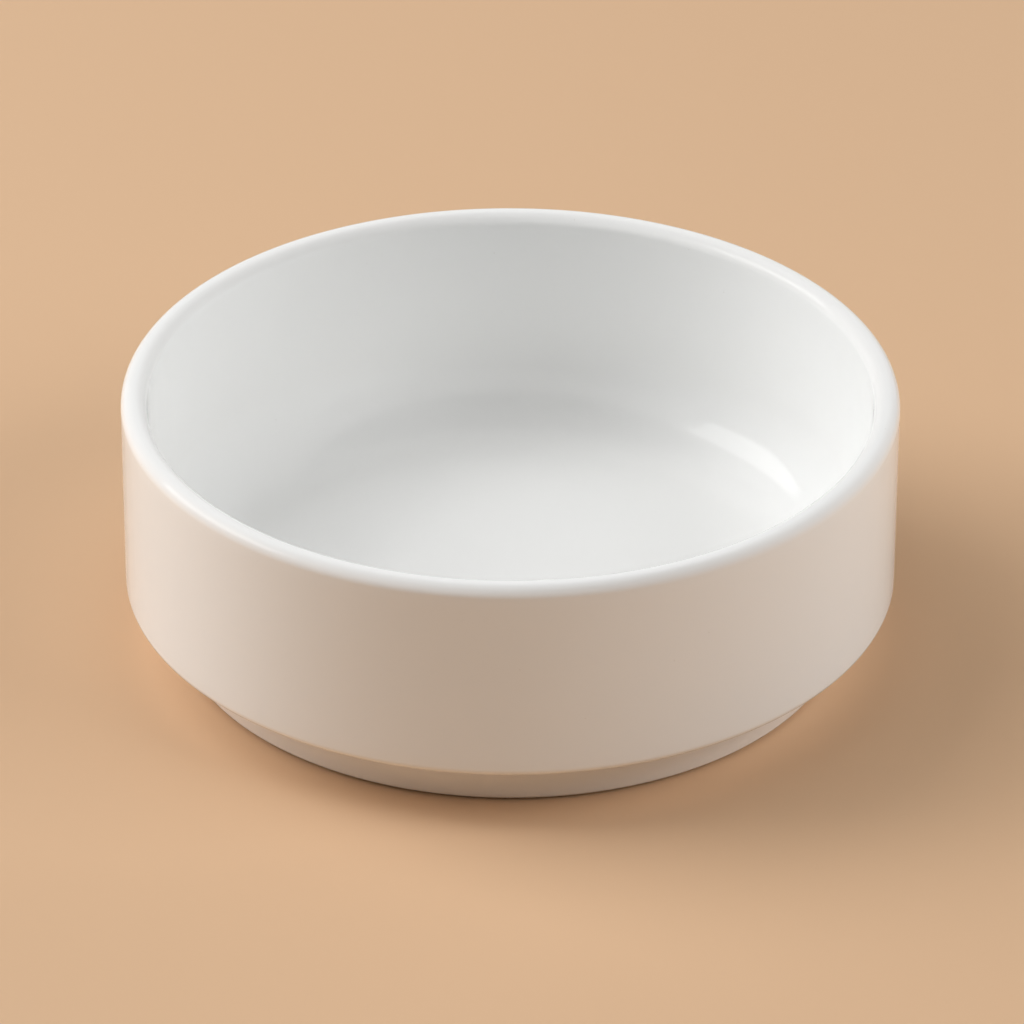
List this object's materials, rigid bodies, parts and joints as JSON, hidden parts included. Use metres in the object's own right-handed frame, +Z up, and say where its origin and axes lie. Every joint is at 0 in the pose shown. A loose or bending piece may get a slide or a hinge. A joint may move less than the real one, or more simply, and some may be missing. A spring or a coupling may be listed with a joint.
{
  "type": "compote bowl",
  "caption": "Low round stacking bowl with a straight wall, rounded lip and stepped-in foot, for stewed fruit or dessert, in white glazed porcelain.",
  "frame": {"origin": "middle of the foot, on the surface that the bowl stands on", "axes": "+Z up along the axis of the bowl; +X and +Y are alike, because the bowl is round"},
  "size_m": [0.12, 0.12, 0.0422],
  "materials": {
    "porcelain_body": "unglazed, matt",
    "glaze_coat": "glossy",
    "underside_glaze": "glossy"
  },
  "bodies": {
    "root": {"porcelain_body": "porcelain_body", "glaze_coat": "glaze_coat", "underside_glaze": "underside_glaze"}
  },
  "joints": []
}
